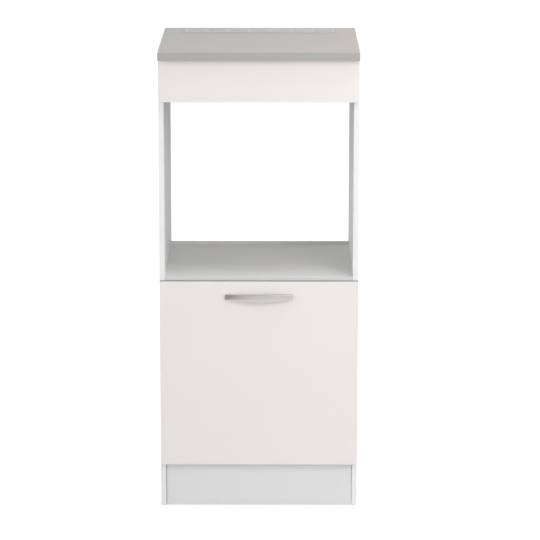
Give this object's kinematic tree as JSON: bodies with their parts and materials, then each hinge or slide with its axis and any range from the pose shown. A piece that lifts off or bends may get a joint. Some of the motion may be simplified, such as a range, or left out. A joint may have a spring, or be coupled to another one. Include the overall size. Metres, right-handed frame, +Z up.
{
  "type": "microwave cabinet",
  "caption": "Half-height kitchen cabinet with a worktop, a ventilation grille, an open microwave niche, a fascia and a deep drawer with a bow handle on a plinth.",
  "frame": {"origin": "on the floor, under the middle of the whole cabinet's box", "axes": "+X to the cabinet's right as its user faces it, -Y out of its front, +Y to the wall, +Z up"},
  "size_m": [0.6, 0.604, 1.407],
  "materials": {
    "white_board": "white melamine-faced chipboard, satin",
    "white_edging": "white edge band, satin",
    "front_white": "warm white melamine-faced chipboard, satin",
    "front_edging": "warm white edge band, satin",
    "grey_worktop": "grey laminate on chipboard, satin",
    "grey_edging": "grey edge band, satin",
    "white_hardboard": "white lacquered hardboard, matt",
    "grille_aluminium": "satin anodised",
    "brushed_nickel": "brushed nickel on die-cast zinc",
    "zinc_steel": "bright zinc plating",
    "runner_coat": "white epoxy coat on steel",
    "roller_plastic": "smooth acetal",
    "white_plastic": "moulded, fine grain",
    "clear_bumper": "soft translucent pad",
    "beech_dowel": "fluted beech"
  },
  "bodies": {
    "cabinet": {"side_panel_left": "white_board", "side_panel_right": "white_board", "bottom_panel": "white_board", "niche_shelf": "white_board", "front_rail": "white_board", "rear_rail": "white_board", "plinth_board": "white_board", "plinth_blocks": "white_plastic", "plinth_block_screws": "zinc_steel", "back_panel": "white_hardboard", "back_panel_nails": "zinc_steel", "carcass_edging": "white_edging", "carcass_cams": "zinc_steel", "carcass_cam_bolts": "zinc_steel", "carcass_dowels": "beech_dowel", "glides": "white_plastic", "fascia": "front_white", "fascia_edging": "front_edging", "fascia_screws": "zinc_steel", "worktop": "grey_worktop", "worktop_edging": "grey_edging", "worktop_brackets": "zinc_steel", "worktop_bracket_screws": "zinc_steel", "vent_grille": "grille_aluminium", "channel_left": "runner_coat", "channel_right": "runner_coat", "channel_screws": "zinc_steel", "front_roller_pins": "zinc_steel"},
    "drawer": {"drawer_runner_left": "runner_coat", "drawer_runner_right": "runner_coat", "drawer_runner_screws": "zinc_steel", "rear_roller_pins": "zinc_steel", "drawer_front": "front_white", "drawer_front_edging": "front_edging", "front_bumpers": "clear_bumper", "handle": "brushed_nickel", "handle_screws": "zinc_steel", "drawer_side_left": "white_board", "drawer_side_right": "white_board", "drawer_inner_front": "white_board", "drawer_back": "white_board", "drawer_bottom": "white_hardboard", "drawer_box_screws": "zinc_steel", "drawer_front_screws": "zinc_steel"},
    "front_roller_left": {"front_roller_left": "roller_plastic"},
    "front_roller_right": {"front_roller_right": "roller_plastic"},
    "rear_roller_left": {"rear_roller_left": "roller_plastic"},
    "rear_roller_right": {"rear_roller_right": "roller_plastic"}
  },
  "joints": [
    {"name": "drawer_slide", "type": "slide", "parent": "cabinet", "child": "drawer", "axis": [0, -1, 0], "range_m": [0, 0.34]},
    {"name": "front_roller_left_spin", "type": "hinge", "parent": "cabinet", "child": "front_roller_left", "pos_m": [-0.2783, -0.243, 0.1885], "axis": [1, 0, 0], "range_deg": [0, 1950]},
    {"name": "front_roller_right_spin", "type": "hinge", "parent": "cabinet", "child": "front_roller_right", "pos_m": [0.2783, -0.243, 0.1885], "axis": [1, 0, 0], "range_deg": [0, 1950]},
    {"name": "rear_roller_left_spin", "type": "hinge", "parent": "drawer", "child": "rear_roller_left", "pos_m": [-0.2776, 0.175, 0.1885], "axis": [1, 0, 0], "range_deg": [0, 1630]},
    {"name": "rear_roller_right_spin", "type": "hinge", "parent": "drawer", "child": "rear_roller_right", "pos_m": [0.2776, 0.175, 0.1885], "axis": [1, 0, 0], "range_deg": [0, 1630]}
  ],
  "couplings": [
    {"joint": "front_roller_left_spin", "follows": "drawer_slide", "rad_per_m": 100},
    {"joint": "front_roller_right_spin", "follows": "drawer_slide", "rad_per_m": 100},
    {"joint": "rear_roller_left_spin", "follows": "drawer_slide", "rad_per_m": 83.333},
    {"joint": "rear_roller_right_spin", "follows": "drawer_slide", "rad_per_m": 83.333}
  ]
}
